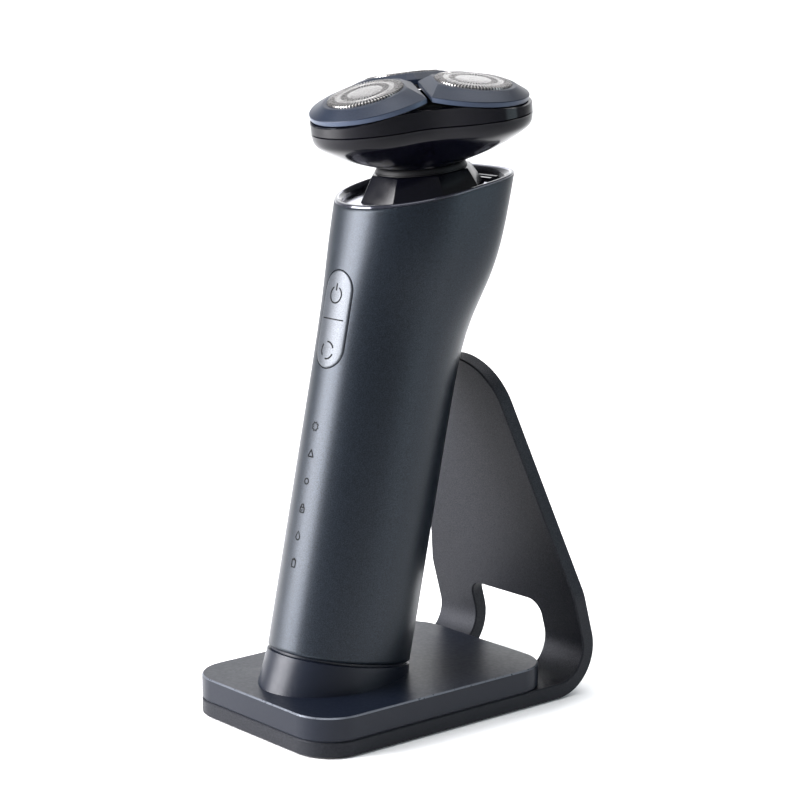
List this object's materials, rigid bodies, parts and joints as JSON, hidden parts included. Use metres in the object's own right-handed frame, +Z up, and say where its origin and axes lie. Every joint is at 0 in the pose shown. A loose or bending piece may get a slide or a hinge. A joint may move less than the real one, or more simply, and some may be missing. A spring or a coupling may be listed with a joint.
{
  "type": "rotary shaver in charging stand",
  "caption": "Cordless rotary shaver with three pivoting heads, rocker button and lamps, leaning in a charging stand made of a bent plate with a socket block.",
  "frame": {"origin": "middle of the stand's footprint, on the surface it stands on", "axes": "+Z up, -Y towards the front of the shaver (the side with the button), +X across the stand"},
  "size_m": [0.0636, 0.1023, 0.1824],
  "materials": {
    "plate_finish": "sand-blasted and painted, fine grain",
    "dock_finish": "satin moulding",
    "handle_paint": "satin metallic lacquer with fine sparkle",
    "button_finish": "satin, slightly lighter than the shell",
    "trim_gloss": "polished lacquer",
    "gloss_black": "polished moulding",
    "pod_finish": "satin moulding",
    "foil_steel": "thin spun steel with a turned grain",
    "screw_steel": "plain machined",
    "rubber_black": "moulded rubber",
    "board_green": "solder mask",
    "contact_brass": "plated",
    "cell_wrap": "shrink sleeve",
    "nickel": "rolled strip",
    "frame_grey": "moulded, internal",
    "nylon": "moulded, natural",
    "clear_guide": "clear moulding, polished",
    "lamp_white": "potting over the lamp",
    "switch_black": "moulded, internal",
    "motor_steel": "plated can",
    "armature_copper": "wound and lacquered"
  },
  "bodies": {
    "stand": {"stand_plate": "plate_finish", "dock_housing": "dock_finish", "dock_screws": "screw_steel", "rubber_feet": "rubber_black", "dock_board": "board_green", "usb_port": "screw_steel", "pin_barrels": "contact_brass"},
    "contact_pin_left": {"contact_pin_left": "contact_brass"},
    "contact_pin_right": {"contact_pin_right": "contact_brass"},
    "handle": {"handle_shell": "handle_paint", "trim_rim": "trim_gloss", "top_deck": "gloss_black", "bottom_cap": "dock_finish", "charging_contacts": "contact_brass", "bottom_seal": "rubber_black", "chassis": "frame_grey", "battery_cell": "cell_wrap", "battery_tabs": "nickel", "main_board": "board_green", "tact_switches": "switch_black", "indicator_leds": "lamp_white", "light_guide": "clear_guide", "button_seal": "rubber_black", "board_screws": "screw_steel", "neck_collar": "rubber_black", "motor_can": "motor_steel", "shaft_seal": "rubber_black"},
    "button": {"rocker_button": "button_finish"},
    "rotor": {"motor_armature": "armature_copper", "drive_coupler": "nylon"},
    "head_base": {"head_bowl": "gloss_black", "gear_plate": "frame_grey"},
    "centre_gear": {"centre_gear": "nylon"},
    "head_frame": {"head_frame": "gloss_black", "hinge_pins": "screw_steel"},
    "gear_front": {"cutter_gear_front": "nylon"},
    "pod_front": {"pod_cover_front": "pod_finish", "foil_front": "foil_steel", "foil_retainer_front": "frame_grey"},
    "cutter_front": {"cutter_front": "foil_steel"},
    "gear_right": {"cutter_gear_right": "nylon"},
    "pod_right": {"pod_cover_right": "pod_finish", "foil_right": "foil_steel", "foil_retainer_right": "frame_grey"},
    "cutter_right": {"cutter_right": "foil_steel"},
    "gear_left": {"cutter_gear_left": "nylon"},
    "pod_left": {"pod_cover_left": "pod_finish", "foil_left": "foil_steel", "foil_retainer_left": "frame_grey"},
    "cutter_left": {"cutter_left": "foil_steel"}
  },
  "joints": [
    {"name": "lift_off", "type": "slide", "parent": "stand", "child": "handle", "axis": [0, 0.2079, 0.9781], "range_m": [0, 0.1]},
    {"name": "button_rock", "type": "hinge", "parent": "handle", "child": "button", "pos_m": [0, -0.01966, 0.11473], "axis": [1, 0, 0], "range_deg": [-1.5, 1.5], "stiffness_Nm_per_rad": 0.5},
    {"name": "motor_spin", "type": "hinge", "parent": "handle", "child": "rotor", "pos_m": [0, 0.01277, 0.1399], "axis": [0, -0.1219, 0.9925], "continuous": true},
    {"name": "head_release", "type": "slide", "parent": "handle", "child": "head_base", "axis": [0, -0.1219, 0.9925], "range_m": [0, 0.03]},
    {"name": "centre_gear_spin", "type": "hinge", "parent": "head_base", "child": "centre_gear", "pos_m": [0, 0.00961, 0.1657], "axis": [0, -0.1219, 0.9925], "continuous": true},
    {"name": "gear_spin_front", "type": "hinge", "parent": "head_base", "child": "gear_front", "pos_m": [0, -0.00707, 0.16366], "axis": [0, -0.1219, 0.9925], "continuous": true},
    {"name": "gear_spin_right", "type": "hinge", "parent": "head_base", "child": "gear_right", "pos_m": [0.01455, 0.01794, 0.16673], "axis": [0, -0.1219, 0.9925], "continuous": true},
    {"name": "gear_spin_left", "type": "hinge", "parent": "head_base", "child": "gear_left", "pos_m": [-0.01455, 0.01794, 0.16673], "axis": [0, -0.1219, 0.9925], "continuous": true},
    {"name": "frame_release", "type": "slide", "parent": "head_base", "child": "head_frame", "axis": [0, -0.1219, 0.9925], "range_m": [0, 0.02]},
    {"name": "pod_tilt_front", "type": "hinge", "parent": "head_frame", "child": "pod_front", "pos_m": [0, -0.02068, 0.16831], "axis": [1, 0, 0], "range_deg": [-1.2, 3], "stiffness_Nm_per_rad": 0.25},
    {"name": "pod_tilt_right", "type": "hinge", "parent": "head_frame", "child": "pod_right", "pos_m": [0.02576, 0.0236, 0.17375], "axis": [-0.5, 0.8596, 0.1055], "range_deg": [-1.2, 3], "stiffness_Nm_per_rad": 0.25},
    {"name": "pod_tilt_left", "type": "hinge", "parent": "head_frame", "child": "pod_left", "pos_m": [-0.02576, 0.0236, 0.17375], "axis": [-0.5, -0.8596, -0.1055], "range_deg": [-1.2, 3], "stiffness_Nm_per_rad": 0.25},
    {"name": "cutter_spin_front", "type": "hinge", "parent": "pod_front", "child": "cutter_front", "pos_m": [0, -0.00884, 0.17458], "axis": [0, -0.309, 0.9511], "continuous": true},
    {"name": "cutter_spin_right", "type": "hinge", "parent": "pod_right", "child": "cutter_right", "pos_m": [0.01492, 0.01681, 0.17773], "axis": [0.1652, -0.0249, 0.9859], "continuous": true},
    {"name": "cutter_spin_left", "type": "hinge", "parent": "pod_left", "child": "cutter_left", "pos_m": [-0.01492, 0.01681, 0.17773], "axis": [-0.1652, -0.0249, 0.9859], "continuous": true},
    {"name": "contact_travel_left", "type": "slide", "parent": "stand", "child": "contact_pin_left", "axis": [0, 0.2079, 0.9781], "range_m": [-0.0008, 0], "stiffness_N_per_m": 600},
    {"name": "contact_travel_right", "type": "slide", "parent": "stand", "child": "contact_pin_right", "axis": [0, 0.2079, 0.9781], "range_m": [-0.0008, 0], "stiffness_N_per_m": 600}
  ],
  "couplings": [
    {"joint": "centre_gear_spin", "follows": "motor_spin", "ratio": 1},
    {"joint": "gear_spin_front", "follows": "motor_spin", "ratio": -0.66667},
    {"joint": "gear_spin_right", "follows": "motor_spin", "ratio": -0.66667},
    {"joint": "gear_spin_left", "follows": "motor_spin", "ratio": -0.66667},
    {"joint": "cutter_spin_front", "follows": "motor_spin", "ratio": -0.66667},
    {"joint": "cutter_spin_right", "follows": "motor_spin", "ratio": -0.66667},
    {"joint": "cutter_spin_left", "follows": "motor_spin", "ratio": -0.66667}
  ]
}
